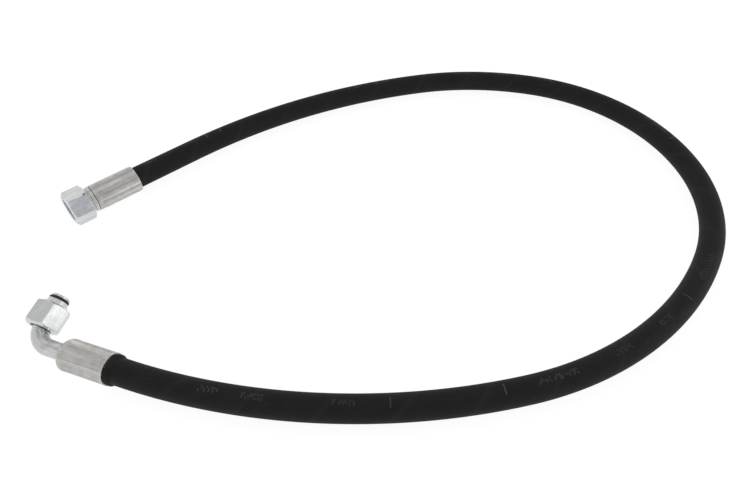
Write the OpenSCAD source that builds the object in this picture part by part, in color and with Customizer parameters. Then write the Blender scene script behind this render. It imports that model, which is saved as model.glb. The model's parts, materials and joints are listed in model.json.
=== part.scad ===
// Hydraulic hose assembly: a two-wire-braid rubber hose laid in a wide U-shaped loop,
// with a crimped fitting at each end. End A is straight with a captive swivel nut.
// End B is a 90 degree tube elbow with a loose nut that slides on the elbow's leg.
// The hose is a chain of six short lengths that meet in ball-shaped joints, so the
// loop can be opened and closed. All dimensions are millimetres.
// Origin: centre of end A's nose. +X runs from the nose into the hose, and +Z is up.

/* [Hose layers] */
// Bore of the hose, which is its nominal half-inch size
hose_bore = 12.7; // [12:0.1:13]
// Outer diameter of the hose
hose_od = 22.2; // [21.8:0.1:23]
// Wall of the inner rubber tube
tube_wall = 1.95; // [1.6:0.05:2.1]
// Thickness of each steel wire braid
braid_wall = 0.6; // [0.4:0.05:0.65]
// Thickness of the rubber between the two braids
interlayer_wall = 0.3; // [0.2:0.05:0.35]
// Gap left between neighbouring layers
layer_gap = 0.02; // [0.01:0.01:0.04]

/* [Loop] */
// Straight hose after end A's ferrule
lead_a = 68; // [40:1:100]
// Radius of the first stretch's bend
bend_1_radius = 545; // [400:5:700]
// Turn of the first stretch
bend_1_turn = 30.5; // [20:0.5:36]
// Radius of the second stretch's bend
bend_2_radius = 275; // [230:5:320]
// Turn of the second stretch
bend_2_turn = 29.5; // [20:0.5:36]
// Radius of the end of the loop, which is two equal stretches
bend_3_radius = 195; // [185:5:215]
// Turn of the end of the loop, over both its stretches
bend_3_turn = 103; // [92:1:106]
// Radius of the fifth stretch's bend
bend_4_radius = 295; // [260:5:340]
// Turn of the fifth stretch
bend_4_turn = 46; // [36:0.5:50]
// Radius of the last stretch's bend
bend_5_radius = 555; // [420:1:650]
// Turn of the last stretch
bend_5_turn = 32.7; // [24:0.05:36]
// Straight hose before end B's ferrule
lead_b = 10; // [8:1:30]
// Ball radius of the joints between stretches, as a share of the hose's radius
ball_ratio = 1.15; // [1.12:0.01:1.16]
// Gap between a ball and its socket
ball_gap = 0.05; // [0.03:0.01:0.1]

/* [Ferrules] */
// Outer diameter between the crimp ridges
ferrule_od = 27; // [26.6:0.1:28]
// Length of end A's ferrule
ferrule_a_len = 46.3; // [46:0.1:47]
// Length of end B's ferrule
ferrule_b_len = 45.5; // [45:0.1:46.5]
// Rounding of end B's ferrule at its fitting end
ferrule_round = 5.5; // [2:0.5:5.5]
// Number of crimp ridges
crimp_count = 8; // [6:1:10]
// Height of the crimp ridges
crimp_height = 0.3; // [0.15:0.05:0.5]
// Width of the crimp ridges
crimp_width = 1.2; // [0.8:0.1:2]
// Number of grip grooves inside each ferrule
grip_count = 7; // [5:1:8]
// Depth of the grip grooves
grip_depth = 0.8; // [0.4:0.1:1.2]
// Length of the black bulge of rubber that swells out of end B's ferrule
bulge_len = 6; // [5:0.5:8]
// Height of that bulge above the hose
bulge_height = 1.7; // [0.8:0.1:1.9]

/* [Inserts] */
// Flow bore of both inserts
insert_bore = 9.6; // [8.6:0.1:10]
// Depth of the barbs on the insert tails
barb_depth = 0.55; // [0.3:0.05:0.7]
// Number of barbs on each insert tail
barb_count = 6; // [4:1:7]
// Distance from the ferrule mouth to the cut end of the hose
hose_seat = 40; // [38:0.5:40]
// Diameter of the collar beside end A's ferrule
collar_od = 26.4; // [25:0.1:26.8]
// Width of that collar
collar_w = 3; // [2:0.1:3.4]
// Diameter of end A's neck, under the nut
neck_od = 20.2; // [19.6:0.1:20.4]

/* [Elbow] */
// Outer diameter of the elbow tube
elbow_od = 14; // [13.6:0.1:14.2]
// Bore of the elbow tube
elbow_bore = 10; // [9.6:0.1:10.6]
// Radius of the bend at its centre line
elbow_radius = 18; // [17:0.5:20]
// Distance from end B's ferrule mouth to the corner where the two axes meet
elbow_corner = 79.6; // [78:0.1:84]
// Distance from the corner to the end of the nose
elbow_leg = 42.9; // [42.5:0.1:50]
// Angle that the leg is turned up out of the plane of the loop
elbow_roll = 12; // [0:1:20]

/* [Cone noses] */
// Diameter of the small end of end A's cone
cone_tip_a_d = 16.6; // [16.2:0.1:16.7]
// Diameter of the small end of end B's cone
cone_tip_b_d = 14.6; // [14.2:0.1:14.8]
// Length of the 24 degree cones
cone_len = 8; // [7:0.1:8.4]
// Distance from the small end to the middle of the O-ring
o_ring_back = 3.2; // [3:0.1:3.6]
// Inner diameter of end A's O-ring
o_ring_a_id = 15; // [14.8:0.1:15.2]
// Inner diameter of end B's O-ring
o_ring_b_id = 13; // [12.8:0.1:13.2]
// Thickness of the O-rings
o_ring_cs = 2; // [1.9:0.1:2.1]
// Diameter of the shoulder that end B's nut seats on
shoulder_od = 19.8; // [19.4:0.1:20]

/* [Union nuts] */
// Size of end A's hexagon across its flats
nut_a_af = 32; // [32:0.5:34]
// Size of end B's hexagon across its flats
nut_b_af = 27; // [27:0.5:29]
// Radial width of the nuts' chamfers at the middle of a flat
nut_chamfer = 1.8; // [0.8:0.1:1.9]
// Length of each nut
nut_len = 21.5; // [20.5:0.5:23]
// Diameter of end A's metric thread
thread_a_d = 26; // [25.9:0.05:26]
// Diameter of end B's metric thread
thread_b_d = 22; // [21.9:0.05:22]
// Pitch of the threads
thread_pitch = 1.5; // [1.5:0.1:2]
// Depth of the thread from the nut's open end
thread_depth = 14; // [13:0.5:14]
// Gap between end A's collar and nut
nut_gap = 1.7; // [1:0.1:3]
// Distance that end A's nut reaches past the nose
nut_reach = 3.5; // [3:0.1:4.5]
// Distance from the corner of the elbow to the back of end B's nut
nut_b_back = 12.5; // [12.5:0.1:18]
// Turn of end A's nut about its axis
nut_a_turn = -28; // [-30:1:30]
// Turn of end B's nut about its axis
nut_b_turn = 4; // [-30:1:30]
// Rear bore of end B's nut, which clears the elbow tube
nut_b_rear_d = 17.6; // [17.5:0.1:18]
// Thickness of the wire that holds end A's nut
wire_d = 1.9; // [1.6:0.1:2]
// Clearance round that wire
wire_gap = 0.05; // [0.03:0.01:0.1]

/* [Hidden] */

eps = 0.01;
arc_fn = 256;
round_fn = 64;
hose_fn = 48;

// Radii of the hose layers, from the bore outwards
r_bore = hose_bore / 2;
r_tube = r_bore + tube_wall;
r_braid_in = r_tube + braid_wall;
r_interlayer = r_braid_in + interlayer_wall;
r_braid_out = r_interlayer + braid_wall;
r_cover = hose_od / 2;
ball_r = ball_ratio * r_cover;

// The six stretches of the loop, each a bend to the right seen from above
stretch_radius = [bend_1_radius, bend_2_radius, bend_3_radius, bend_3_radius, bend_4_radius, bend_5_radius];
stretch_turn = [bend_1_turn, bend_2_turn, bend_3_turn / 2, bend_3_turn / 2, bend_4_turn, bend_5_turn];
last = len(stretch_radius) - 1;

// Distances along end A, measured outwards from the ferrule's mouth
lip_start = hose_seat + 2.4;
flange_start = hose_seat + 0.2;
flange_end = lip_start - 0.1;
collar_start = ferrule_a_len + 0.5;
collar_end = collar_start + collar_w;
nut_a_back = collar_end + nut_gap;
nose_a = nut_a_back + nut_len - nut_reach;
mouth_a = nose_a;

// Floor of the socket in end B's insert, measured outwards from the ferrule's mouth
socket_b = flange_end + 0.9;

// Slope of the cone noses
cone_slope = tan(12);
// Half the width of an O-ring's groove
groove_half = o_ring_cs * 0.62;

// Nut seat, thrust wire and the seated position of end B's nut
nut_a_rear_d = neck_od + 0.6;
wire_ring_r = neck_od / 2 + 0.1;
wire_place = 3.3;
shoulder_w = 2;
head_back = cone_len + 1.2 + shoulder_w;
wire_hole_d = 2.4;

// Heading of the hose at the start of stretch k, with k = 6 for the end of the loop
function heading(k) = k == 0 ? 0 : heading(k - 1) - stretch_turn[k - 1];

// Centre of the hose at the start of stretch k, which is its joint with the stretch before
function start(k) = k == 0
    ? [mouth_a + lead_a, 0]
    : start(k - 1) + stretch_radius[k - 1] * [
        sin(heading(k - 1)) - sin(heading(k)),
        cos(heading(k)) - cos(heading(k - 1))
    ];

// Centre of end B's ferrule mouth
mouth_b = start(last + 1) + lead_b * [cos(heading(last + 1)), sin(heading(last + 1))];

// ---------- Frames ----------

// Start of stretch k, with +X along the hose
module at_stretch(k) {
    translate([start(k)[0], start(k)[1], 0]) rotate([0, 0, heading(k)]) children();
}

// End A's axis, with +Z running outwards from the ferrule's mouth
module at_end_a() {
    translate([mouth_a, 0, 0]) rotate([0, -90, 0]) children();
}

// End B's axis, with +Z running outwards from the ferrule's mouth
module at_end_b() {
    translate([mouth_b[0], mouth_b[1], 0]) rotate([0, 0, heading(last + 1)]) rotate([0, 90, 0]) children();
}

// Plane of the elbow: +X along the ferrule's axis, and the leg runs along -Y
module at_elbow() {
    translate([mouth_b[0], mouth_b[1], 0])
        rotate([0, 0, heading(last + 1)]) rotate([-elbow_roll, 0, 0]) children();
}

// Axis of the elbow's leg, with +Z running from the corner to the nose
module at_leg() {
    at_elbow() translate([elbow_corner, 0, 0]) rotate([90, 0, 0]) children();
}

// ---------- Shared shapes ----------

// Flat ring, the section of one layer
module ring(r_in, r_out) {
    difference() {
        circle(r = r_out, $fn = hose_fn);
        circle(r = r_in, $fn = hose_fn);
    }
}

// Straight pipe along +X from x = 0
module pipe_x(r_in, r_out, length) {
    rotate([0, 90, 0]) linear_extrude(length) ring(r_in, r_out);
}

// Pipe that starts at the origin along +X and bends to the right
module bend(radius, turn, r_in, r_out) {
    mirror([0, 1, 0]) translate([0, radius, 0]) rotate([0, 0, -90])
        rotate_extrude(angle = turn, $fn = arc_fn) translate([radius, 0]) ring(r_in, r_out);
}

// Ball of a joint, centred on it, which hollows the socket end of a stretch
module joint_ball() {
    rotate([0, 90, 0]) rotate_extrude($fn = arc_fn) intersection() {
        circle(r = ball_r, $fn = arc_fn);
        translate([0, -ball_r]) square([ball_r, 2 * ball_r]);
    }
}

// All that lies ahead of a joint and outside its ball, which trims a stretch to a ball end
module joint_cup() {
    rotate([0, 90, 0]) rotate_extrude($fn = arc_fn) difference() {
        square([2 * ball_r, 2 * ball_r]);
        circle(r = ball_r - ball_gap, $fn = arc_fn);
    }
}

// One layer of stretch k (1 to 6). Its start is a socket and its end is a ball, which is cut
// from a bend that runs past the joint. The first and last stretches run on into the ferrules.
module layer(k, r_in, r_out) {
    i = k - 1;
    past = ball_r / stretch_radius[i] * 180 / PI + 0.2;
    difference() {
        union() {
            if (i == 0) at_stretch(0) {
                translate([-lead_a - hose_seat, 0, 0]) pipe_x(r_in, r_out, lead_a + hose_seat);
                bend(stretch_radius[0], stretch_turn[0] + past, r_in, r_out);
            }
            if (i > 0 && i < last) at_stretch(i) bend(stretch_radius[i], stretch_turn[i] + past, r_in, r_out);
            if (i == last) at_stretch(last + 1) {
                pipe_x(r_in, r_out, lead_b + hose_seat);
                mirror([1, 0, 0]) bend(stretch_radius[last], stretch_turn[last], r_in, r_out);
            }
        }
        if (i > 0) at_stretch(i) joint_ball();
        if (i < last) at_stretch(i + 1) joint_cup();
    }
}

// Outside of a crimped ferrule: a cylinder with long ridges left between the crimp dies
module crimped_body(length, plain_end) {
    cylinder(h = length, d = ferrule_od, $fn = round_fn);
    for (i = [0 : crimp_count - 1])
        rotate([0, 0, i * 360 / crimp_count])
            translate([ferrule_od / 2 - 0.5, -crimp_width / 2, 1.5])
                cube([0.5 + crimp_height, crimp_width, length - plain_end - 1.5]);
}

// Inside of a ferrule: hose bore with grip grooves, then the bore of the lip
module ferrule_inside(length, lip_r) {
    translate([0, 0, -1]) cylinder(h = lip_start + 1, r = r_cover + layer_gap, $fn = round_fn);
    translate([0, 0, -1]) cylinder(h = length + 2, r = lip_r, $fn = round_fn);
    for (i = [0 : grip_count - 1])
        translate([0, 0, 5 + i * (hose_seat - 8) / grip_count])
            cylinder(h = 2.2, r = r_cover + grip_depth, $fn = round_fn);
}

// Points of the barbs along an insert's tail, as [radius, distance]
function barbs(tail_r, tail_start, pitch) = [
    for (i = [0 : barb_count - 1])
        for (p = [[tail_r - barb_depth, 0], [tail_r, pitch * 0.75], [tail_r - barb_depth, pitch * 0.76]])
            [p[0], tail_start + i * pitch + p[1]]
];

// Tail, stop flange and neck of an insert, as a solid of revolution along +Z.
// The neck runs through the ferrule's lip and ends at top.
module insert_tail(neck_r, top) {
    tail_start = 2;
    pitch = (hose_seat - 6) / barb_count;
    tail_r = r_bore - layer_gap;
    rotate_extrude($fn = round_fn) polygon(concat(
        [[insert_bore / 2, tail_start]],
        barbs(tail_r, tail_start, pitch),
        [
            [tail_r, hose_seat - 3.9], [tail_r, flange_start], [neck_r + 1.1, flange_start],
            [neck_r + 1.1, flange_end], [neck_r, flange_end], [neck_r, top],
            [insert_bore / 2, top]
        ]
    ));
}

// Points of a cone nose as [radius, distance], from its base to its tip, with the O-ring's groove
function cone_nose(tip, tip_d, ring_id) = [
    [tip_d / 2 + cone_len * cone_slope, tip - cone_len],
    [tip_d / 2 + (o_ring_back + groove_half) * cone_slope, tip - o_ring_back - groove_half],
    [ring_id / 2 - 0.02, tip - o_ring_back - groove_half],
    [ring_id / 2 - 0.02, tip - o_ring_back + groove_half],
    [tip_d / 2 + (o_ring_back - groove_half) * cone_slope, tip - o_ring_back + groove_half],
    [tip_d / 2 + 0.3 * cone_slope, tip - 0.3],
    [tip_d / 2 - 0.3, tip]
];

// O-ring whose middle is at the given distance
module o_ring(place, ring_id) {
    translate([0, 0, place]) rotate_extrude($fn = round_fn)
        translate([(ring_id + o_ring_cs) / 2, 0]) circle(d = o_ring_cs - 0.02, $fn = 32);
}

// Hexagon union nut whose back is at z = 0 and whose open end is at z = nut_len
module union_nut(af, thread_d, rear_d, turn) {
    corner_r = af / 2 / cos(30) + 0.2;
    face_r = af / 2 - nut_chamfer;
    cut = (corner_r - face_r) * tan(30);
    minor_d = thread_d - 1.08 * thread_pitch;
    seat = (minor_d - rear_d) / 2;
    rings = floor((thread_depth - 1.6) / thread_pitch);
    difference() {
        intersection() {
            rotate([0, 0, turn]) cylinder(h = nut_len, r = af / 2 / cos(30), $fn = 6);
            rotate_extrude($fn = round_fn) polygon([
                [0, 0], [face_r, 0], [corner_r, cut],
                [corner_r, nut_len - cut], [face_r, nut_len], [0, nut_len]
            ]);
        }
        translate([0, 0, -1]) cylinder(h = nut_len + 2, d = rear_d, $fn = round_fn);
        translate([0, 0, nut_len - thread_depth])
            cylinder(h = thread_depth + 1, d = minor_d, $fn = round_fn);
        translate([0, 0, nut_len - thread_depth - seat])
            cylinder(h = seat + eps, d1 = rear_d, d2 = minor_d, $fn = round_fn);
        translate([0, 0, nut_len - 0.8])
            cylinder(h = 0.9, d1 = minor_d, d2 = minor_d + 1.8, $fn = round_fn);
        for (i = [0 : rings - 1]) translate([0, 0, nut_len - 1.6 - i * thread_pitch])
            rotate_extrude($fn = round_fn) polygon([
                [minor_d / 2 - 0.1, -0.52], [thread_d / 2, -0.06],
                [thread_d / 2, 0.06], [minor_d / 2 - 0.1, 0.52]
            ]);
    }
}

// ---------- Hose ----------

module inner_tube(k) {
    color([0.05, 0.05, 0.05]) layer(k, r_bore, r_tube - layer_gap);
}

module inner_braid(k) {
    color([0.62, 0.57, 0.45]) layer(k, r_tube, r_braid_in - layer_gap);
}

module interlayer(k) {
    color([0.08, 0.08, 0.08]) layer(k, r_braid_in, r_interlayer - layer_gap);
}

module outer_braid(k) {
    color([0.62, 0.57, 0.45]) layer(k, r_interlayer, r_braid_out - layer_gap);
}

// Cover, which swells into a bulge where the last stretch enters end B's ferrule
module cover(k) {
    color([0.13, 0.13, 0.12]) {
        layer(k, r_braid_out, r_cover);
        if (k == last + 1) at_end_b() bulge();
    }
}

// Bulge of rubber squeezed out of end B's ferrule
module bulge() {
    inner = r_cover - 0.6;
    rotate([0, 0, 40]) rotate_extrude($fn = round_fn) polygon([
        [inner, -bulge_len], [r_cover - 0.3, -bulge_len], [r_cover + bulge_height * 0.55, -bulge_len * 0.8],
        [r_cover + bulge_height, -bulge_len * 0.45], [r_cover + bulge_height, -0.05], [inner, -0.05]
    ]);
}

// ---------- End A ----------

module ferrule_a() {
    color([0.69, 0.68, 0.65]) at_end_a() difference() {
        crimped_body(ferrule_a_len, 4);
        ferrule_inside(ferrule_a_len, 7.5);
    }
}

// Insert: barbed tail, lip groove, collar, neck with half of the wire's groove, and cone nose
module insert_a() {
    neck_r = neck_od / 2;
    neck_top = nose_a - cone_len - 1.2;
    color([0.75, 0.75, 0.73]) at_end_a() difference() {
        union() {
            insert_tail(7.4, ferrule_a_len + 0.1);
            rotate_extrude($fn = round_fn) polygon(concat(
                [
                    [insert_bore / 2, ferrule_a_len], [7.4, ferrule_a_len], [7.4, collar_start],
                    [collar_od / 2 - 0.3, collar_start], [collar_od / 2, collar_start + 0.3],
                    [collar_od / 2, collar_end - 1.6], [collar_od / 2 - 0.5, collar_end - 1.4],
                    [collar_od / 2 - 0.5, collar_end - 1.1], [collar_od / 2, collar_end - 0.9],
                    [collar_od / 2 - 0.4, collar_end], [neck_r, collar_end], [neck_r, neck_top]
                ],
                cone_nose(nose_a, cone_tip_a_d, o_ring_a_id),
                [[insert_bore / 2, nose_a]]
            ));
        }
        translate([0, 0, nut_a_back + wire_place]) rotate_extrude($fn = round_fn)
            translate([wire_ring_r, 0]) circle(d = wire_d + 2 * wire_gap, $fn = 32);
    }
}

// Wire ring that lies half in the neck and half in the nut, with a gap where its ends meet
module thrust_wire_a() {
    color([0.6, 0.6, 0.58]) at_end_a() translate([0, 0, nut_a_back + wire_place])
        rotate([0, 0, 8]) rotate_extrude(angle = 344, $fn = round_fn)
            translate([wire_ring_r, 0]) circle(d = wire_d, $fn = 32);
}

module o_ring_a() {
    color([0.03, 0.03, 0.03]) at_end_a() o_ring(nose_a - o_ring_back, o_ring_a_id);
}

// Nut held by the wire, with the hole that the wire is fed through
module nut_a() {
    color([0.8, 0.82, 0.84]) at_end_a() translate([0, 0, nut_a_back]) difference() {
        union_nut(nut_a_af, thread_a_d, nut_a_rear_d, nut_a_turn);
        translate([0, 0, wire_place]) rotate_extrude($fn = round_fn)
            translate([wire_ring_r, 0]) circle(d = wire_d + 2 * wire_gap, $fn = 32);
        rotate([0, 0, nut_a_turn]) translate([wire_ring_r, 0, wire_place])
            rotate([0, 90, 0]) cylinder(h = nut_a_af, d = wire_hole_d, $fn = 32);
    }
}

// ---------- End B ----------

module ferrule_b() {
    r = ferrule_od / 2;
    color([0.69, 0.68, 0.65]) at_end_b() difference() {
        intersection() {
            crimped_body(ferrule_b_len, ferrule_round + 2);
            rotate_extrude($fn = round_fn) {
                square([r + 1, ferrule_b_len - ferrule_round]);
                square([r - ferrule_round, ferrule_b_len]);
                translate([r - ferrule_round, ferrule_b_len - ferrule_round])
                    intersection() {
                        circle(r = ferrule_round, $fn = round_fn);
                        square(ferrule_round);
                    }
            }
        }
        ferrule_inside(ferrule_b_len, 7.7);
    }
}

// Insert: barbed tail and a neck with a socket that the elbow tube is brazed into
module insert_b() {
    color([0.75, 0.75, 0.73]) at_end_b() difference() {
        insert_tail(7.6, ferrule_b_len - 0.1);
        translate([0, 0, socket_b]) cylinder(h = 10, r = elbow_od / 2 + 0.02, $fn = round_fn);
    }
}

// Bent tube from the insert's socket to the head's socket
module elbow_tube_b() {
    tube_start = socket_b + 0.05;
    bend_start = elbow_corner - elbow_radius;
    color([0.8, 0.83, 0.84]) at_elbow() {
        translate([tube_start, 0, 0]) pipe_x(elbow_bore / 2, elbow_od / 2, bend_start - tube_start);
        translate([bend_start, 0, 0]) bend(elbow_radius, 90, elbow_bore / 2, elbow_od / 2);
        translate([elbow_corner, -elbow_radius, 0]) rotate([0, 0, -90])
            pipe_x(elbow_bore / 2, elbow_od / 2, elbow_leg - cone_len - 1.5 - elbow_radius);
    }
}

// Head brazed on the tube: back cone, shoulder and cone nose
module cone_head_b() {
    socket_r = elbow_od / 2 + 0.02;
    socket_end = elbow_leg - cone_len - 1.45;
    shoulder_back = elbow_leg - head_back;
    back_len = shoulder_od / 2 - socket_r - 0.1;
    color([0.8, 0.82, 0.83]) at_leg() rotate_extrude($fn = round_fn) polygon(concat(
        [
            [elbow_bore / 2, socket_end], [socket_r, socket_end], [socket_r, shoulder_back - back_len],
            [socket_r + 0.1, shoulder_back - back_len], [shoulder_od / 2, shoulder_back],
            [shoulder_od / 2, shoulder_back + shoulder_w]
        ],
        cone_nose(elbow_leg, cone_tip_b_d, o_ring_b_id),
        [[elbow_bore / 2, elbow_leg]]
    ));
}

module o_ring_b() {
    color([0.03, 0.03, 0.03]) at_leg() o_ring(elbow_leg - o_ring_back, o_ring_b_id);
}

// Loose nut, pushed back along the leg so that the nose is bare
module nut_b() {
    color([0.84, 0.85, 0.86]) at_leg() translate([0, 0, nut_b_back])
        union_nut(nut_b_af, thread_b_d, nut_b_rear_d, nut_b_turn);
}

inner_tube(1);  // tube_1
inner_tube(2);  // tube_2
inner_tube(3);  // tube_3
inner_tube(4);  // tube_4
inner_tube(5);  // tube_5
inner_tube(6);  // tube_6
inner_braid(1);  // braid_in_1
inner_braid(2);  // braid_in_2
inner_braid(3);  // braid_in_3
inner_braid(4);  // braid_in_4
inner_braid(5);  // braid_in_5
inner_braid(6);  // braid_in_6
interlayer(1);  // interlayer_1
interlayer(2);  // interlayer_2
interlayer(3);  // interlayer_3
interlayer(4);  // interlayer_4
interlayer(5);  // interlayer_5
interlayer(6);  // interlayer_6
outer_braid(1);  // braid_out_1
outer_braid(2);  // braid_out_2
outer_braid(3);  // braid_out_3
outer_braid(4);  // braid_out_4
outer_braid(5);  // braid_out_5
outer_braid(6);  // braid_out_6
cover(1);  // cover_1
cover(2);  // cover_2
cover(3);  // cover_3
cover(4);  // cover_4
cover(5);  // cover_5
cover(6);  // cover_6
ferrule_a();
insert_a();
thrust_wire_a();
o_ring_a();
nut_a();
ferrule_b();
insert_b();
elbow_tube_b();
cone_head_b();
o_ring_b();
nut_b();
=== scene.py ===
"""Looks of the hydraulic hose assembly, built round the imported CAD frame. Everything is in metres."""

import json
import math

import bpy
import bmesh
import numpy as np
from mathutils import Matrix, Vector


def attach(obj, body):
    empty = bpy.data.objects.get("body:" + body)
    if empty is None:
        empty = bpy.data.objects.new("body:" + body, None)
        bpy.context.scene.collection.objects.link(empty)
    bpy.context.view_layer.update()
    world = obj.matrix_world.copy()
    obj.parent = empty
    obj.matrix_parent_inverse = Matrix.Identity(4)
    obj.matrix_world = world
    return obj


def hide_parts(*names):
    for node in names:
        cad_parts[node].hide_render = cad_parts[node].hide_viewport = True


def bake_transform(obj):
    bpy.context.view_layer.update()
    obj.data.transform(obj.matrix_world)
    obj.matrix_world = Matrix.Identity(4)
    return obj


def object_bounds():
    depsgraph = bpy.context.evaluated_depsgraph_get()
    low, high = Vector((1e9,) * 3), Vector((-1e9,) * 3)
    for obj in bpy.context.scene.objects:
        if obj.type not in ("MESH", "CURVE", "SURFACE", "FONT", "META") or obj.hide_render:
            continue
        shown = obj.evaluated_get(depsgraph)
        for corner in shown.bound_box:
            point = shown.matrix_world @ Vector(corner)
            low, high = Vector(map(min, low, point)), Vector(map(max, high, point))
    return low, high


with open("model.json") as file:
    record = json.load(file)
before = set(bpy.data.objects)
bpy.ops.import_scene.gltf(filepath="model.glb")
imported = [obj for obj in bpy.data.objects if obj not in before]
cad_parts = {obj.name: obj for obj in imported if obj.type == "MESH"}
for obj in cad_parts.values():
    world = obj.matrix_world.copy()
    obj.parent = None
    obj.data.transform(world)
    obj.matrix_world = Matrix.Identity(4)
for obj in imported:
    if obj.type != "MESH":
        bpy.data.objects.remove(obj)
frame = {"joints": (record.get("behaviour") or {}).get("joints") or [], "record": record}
cad_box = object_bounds()

MM = 0.001
JOINTS = {joint["name"]: joint for joint in frame["joints"]}
MOUNTS = {mount["name"]: mount for mount in frame["record"]["mounts"]}
UP = Vector((0, 0, 1))

# ---------- Sizes ----------

# As in the CAD source, but the crimp marks have a finer form, the wire hole is smaller and edges are rounded.
# A name that ends in _R is a radius, and one that ends in _LEN is a length.

BORE_R = 6.35 * MM
TUBE_R = 8.30 * MM
BRAID_IN_R = 8.90 * MM
INTERLAYER_R = 9.20 * MM
BRAID_OUT_R = 9.80 * MM
COVER_R = 11.1 * MM
LAYER_GAP = 0.02 * MM
LEAD_A = 68 * MM
LEAD_B = 10 * MM
HOSE_SEAT = 40 * MM
BULGE_LEN = 6 * MM
BULGE_HEIGHT = 1.7 * MM

FERRULE_R = 13.5 * MM
FERRULE_A_LEN = 46.3 * MM
FERRULE_B_LEN = 45.5 * MM
FERRULE_A_EDGE = 0.35 * MM
FERRULE_B_ROUND = 5.5 * MM
CRIMPS = 8
CRIMP_PLAIN_A = 4 * MM
CRIMP_PLAIN_B = FERRULE_B_ROUND + 2 * MM
CRIMP_HEIGHT = 0.40 * MM
CRIMP_GROOVE = 0.45 * MM
CRIMP_FLAT = 0.18 * MM
CRIMP_NOTCH = 0.70 * MM
RIDGE_HALF = 0.48 * MM
GROOVE_OFF = 1.2 * MM
GROOVE_HALF = 0.65 * MM
NOTCH_OFF = 0.7 * MM
NOTCH_LEN = 4.2 * MM
NOTCH_HALF = 0.45 * MM
NOTCH_SPREAD = 1.1 * MM
LIP_START = HOSE_SEAT + 2.4 * MM
LIP_A_R = 7.5 * MM
LIP_B_R = 7.7 * MM
GRIPS = 7
GRIP_START = 5 * MM
GRIP_PITCH = (HOSE_SEAT - 8 * MM) / GRIPS
GRIP_WIDTH = 2.2 * MM
GRIP_DEPTH = 0.8 * MM

INSERT_BORE_R = 4.8 * MM
TAIL_START = 2 * MM
BARBS = 6
BARB_PITCH = (HOSE_SEAT - 6 * MM) / BARBS
BARB_DEPTH = 0.55 * MM
FLANGE_START = HOSE_SEAT + 0.2 * MM
FLANGE_END = HOSE_SEAT + 2.3 * MM
FLANGE_HEIGHT = 1.1 * MM
LIP_GROOVE_A_R = 7.4 * MM
LIP_GROOVE_B_R = 7.6 * MM
COLLAR_R = 13.2 * MM
COLLAR_START = FERRULE_A_LEN + 0.5 * MM
COLLAR_END = COLLAR_START + 3 * MM
COLLAR_GROOVE = 0.55 * MM
NECK_R = 10.1 * MM
NUT_LEN = 21.5 * MM
NUT_CHAMFER = 1.8 * MM
NUT_EDGE_ROUND = 0.8 * MM
THREAD_PITCH = 1.5 * MM
THREAD_DEPTH = 0.81 * MM
THREAD_LEN = 14 * MM
THREAD_FOOT = 0.55 * MM
THREAD_CREST = 0.09 * MM
NUT_A_HALF_FLATS = 16 * MM
NUT_A_THREAD_R = 13 * MM
NUT_A_BACK = COLLAR_END + 1.7 * MM
NUT_A_TURN = math.radians(-28)
NUT_REACH = 3.5 * MM
NOSE_A = NUT_A_BACK + NUT_LEN - NUT_REACH
WIRE_PLACE = 3.3 * MM
WIRE_R = 0.95 * MM
WIRE_RING_R = NECK_R + 0.1 * MM
WIRE_HOLE_R = 0.95 * MM
WIRE_GROOVE = 0.7 * MM

ELBOW_R = 7 * MM
ELBOW_BORE_R = 5 * MM
ELBOW_BEND = 18 * MM
ELBOW_CORNER = 79.6 * MM
ELBOW_LEG = 42.9 * MM
SOCKET_B = 43.2 * MM
SOCKET_R = ELBOW_R + 0.02 * MM
NUT_B_BACK = 12.5 * MM
NUT_B_TURN = math.radians(4)
NUT_B_HALF_FLATS = 13.5 * MM
NUT_B_THREAD_R = 11 * MM
NUT_B_REAR_R = 8.8 * MM
SHOULDER_R = 9.9 * MM

CONE_LEN = 8 * MM
CONE_SLOPE = math.tan(math.radians(12))
CONE_A_TIP_R = 8.3 * MM
CONE_B_TIP_R = 7.3 * MM
O_RING_BACK = 3.2 * MM
O_RING_A_R = 7.5 * MM
O_RING_B_R = 6.5 * MM
O_RING_THICK = 2 * MM


# ---------- Frames of the two ends ----------


def place(origin, x_axis, z_axis):
    """Matrix that carries a piece's own frame to the given origin and axes."""
    x_axis = Vector(x_axis).normalized()
    z_axis = Vector(z_axis).normalized()
    y_axis = z_axis.cross(x_axis)
    matrix = Matrix((x_axis, y_axis, z_axis)).transposed().to_4x4()
    matrix.translation = Vector(origin)
    return matrix


nose_b = Vector(MOUNTS["port_b"]["pos_m"])
leg_axis = Vector(MOUNTS["port_b"]["axis"]).normalized()
leg_flat = Vector((leg_axis.x, leg_axis.y, 0)).normalized()
axis_b = UP.cross(leg_flat)
corner_b = nose_b - leg_axis * ELBOW_LEG
mouth_b = corner_b - axis_b * ELBOW_CORNER
mouth_a = Vector((NOSE_A, 0, 0))

END_A = place(mouth_a, UP, (-1, 0, 0))
END_B = place(mouth_b, -UP, axis_b)
LEG_B = place(corner_b, axis_b, leg_axis)
ELBOW_PLANE = place(mouth_b, axis_b, axis_b.cross(-leg_axis))


# ---------- Centre line of the hose ----------


def centre_line():
    """Stretches of the hose as (start, heading, turn, length), from the cut end in ferrule A to the one
    in ferrule B. The bends run from pivot to pivot and all turn to the right."""
    knots = [mouth_a + Vector((LEAD_A, 0, 0))]
    knots += [Vector(JOINTS["flex_%d" % i]["pos_m"]) for i in range(1, 6)]
    knots += [mouth_b - axis_b * LEAD_B]
    line = [(mouth_a - Vector((HOSE_SEAT, 0, 0)), 0.0, 0.0, LEAD_A + HOSE_SEAT)]
    heading = 0.0
    for start, end in zip(knots, knots[1:]):
        chord = end - start
        slope = math.atan2(chord.y, chord.x)
        half = (heading - slope + math.pi) % (2 * math.pi) - math.pi
        radius = chord.length / (2 * math.sin(half))
        line.append((start, heading, 2 * half, radius * 2 * half))
        heading -= 2 * half
    line.append((knots[-1], heading, 0.0, LEAD_B + HOSE_SEAT))
    return line


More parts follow.
